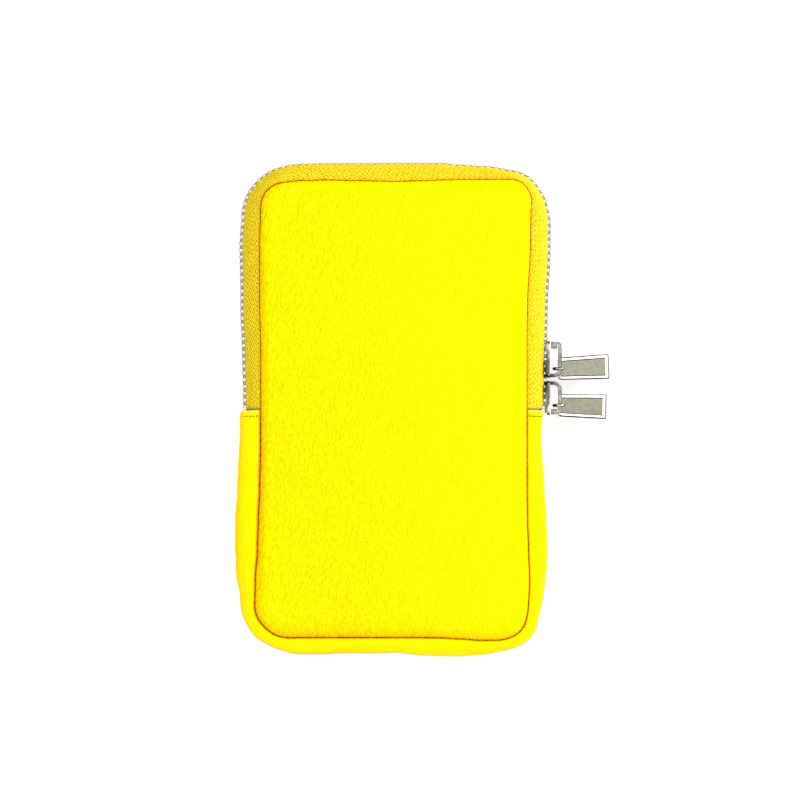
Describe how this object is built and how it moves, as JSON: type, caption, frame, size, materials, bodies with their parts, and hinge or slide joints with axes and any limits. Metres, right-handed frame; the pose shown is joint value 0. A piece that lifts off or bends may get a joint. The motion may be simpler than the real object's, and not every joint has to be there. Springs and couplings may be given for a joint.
{
  "type": "phone pouch",
  "caption": "Slim zip-round leather phone pouch with a padded front and back, a gusset round the bottom, a metal zip over the top and two sliders with flat metal pull tabs.",
  "frame": {"origin": "middle of the flat back face that the pouch rests on", "axes": "+Z out of the front panel, +Y from the gusset to the zip over the top, +X towards the two sliders"},
  "size_m": [0.1357, 0.1798, 0.0225],
  "materials": {
    "yellow_leather": "pebbled",
    "foam_interlining": "soft foam",
    "lining_cloth": "plain weave",
    "zip_tape": "herringbone weave",
    "seam_thread": "twisted thread",
    "hem_thread": "twisted thread",
    "tooth_metal": "polished nickel",
    "slider_metal": "polished nickel",
    "pull_metal": "satin nickel with a bright border"
  },
  "bodies": {
    "pouch": {"back_panel": "yellow_leather", "back_padding": "foam_interlining", "back_lining": "lining_cloth", "front_panel_lower": "yellow_leather", "front_padding_lower": "foam_interlining", "front_lining_lower": "lining_cloth", "bottom_gusset": "yellow_leather", "gusset_lining": "lining_cloth", "gusset_end_stitching": "hem_thread", "zip_tape_back": "zip_tape", "zip_tape_front_lower": "zip_tape", "zip_teeth_back": "tooth_metal", "zip_teeth_front_lower": "tooth_metal", "zip_end_stops": "tooth_metal", "back_seam_thread": "seam_thread", "front_seam_thread_lower": "seam_thread"},
    "mouth_flap": {"front_panel_upper": "yellow_leather", "front_padding_upper": "foam_interlining", "front_lining_upper": "lining_cloth", "zip_tape_front_upper": "zip_tape", "zip_teeth_front_upper": "tooth_metal", "front_seam_thread_upper": "seam_thread"},
    "lower_slider": {"lower_slider": "slider_metal"},
    "upper_slider": {"upper_slider": "slider_metal"},
    "lower_link": {"lower_link": "slider_metal"},
    "upper_link": {"upper_link": "slider_metal"},
    "lower_pull": {"lower_pull_tab": "pull_metal"},
    "upper_pull": {"upper_pull_tab": "pull_metal"}
  },
  "joints": [
    {"name": "mouth_fold", "type": "hinge", "parent": "pouch", "child": "mouth_flap", "pos_m": [0, 0.02815, 0.0225], "axis": [1, 0, 0], "range_deg": [0, 40], "deforming": ["zip_teeth_front_upper"]},
    {"name": "lower_slider_travel", "type": "slide", "parent": "pouch", "child": "lower_slider", "axis": [0, 1, 0], "range_m": [0, 0.017], "deforming": ["zip_teeth_back", "zip_teeth_front_lower"]},
    {"name": "upper_slider_travel", "type": "slide", "parent": "lower_slider", "child": "upper_slider", "axis": [0, 1, 0], "range_m": [0, 0.023]},
    {"name": "lower_link_swing", "type": "hinge", "parent": "lower_slider", "child": "lower_link", "pos_m": [0.06075, 0.00195, 0.0101], "axis": [0, -1, 0], "range_deg": [0, 90]},
    {"name": "upper_link_swing", "type": "hinge", "parent": "upper_slider", "child": "upper_link", "pos_m": [0.06075, 0.01495, 0.0101], "axis": [0, -1, 0], "range_deg": [0, 90]},
    {"name": "lower_pull_tilt", "type": "hinge", "parent": "lower_link", "child": "lower_pull", "pos_m": [0.06151, 0.00195, 0.00793], "axis": [0.3907, 0, 0.9205], "range_deg": [-20, 20]},
    {"name": "upper_pull_tilt", "type": "hinge", "parent": "upper_link", "child": "upper_pull", "pos_m": [0.06151, 0.01495, 0.00793], "axis": [0.3907, 0, 0.9205], "range_deg": [-20, 20]}
  ]
}
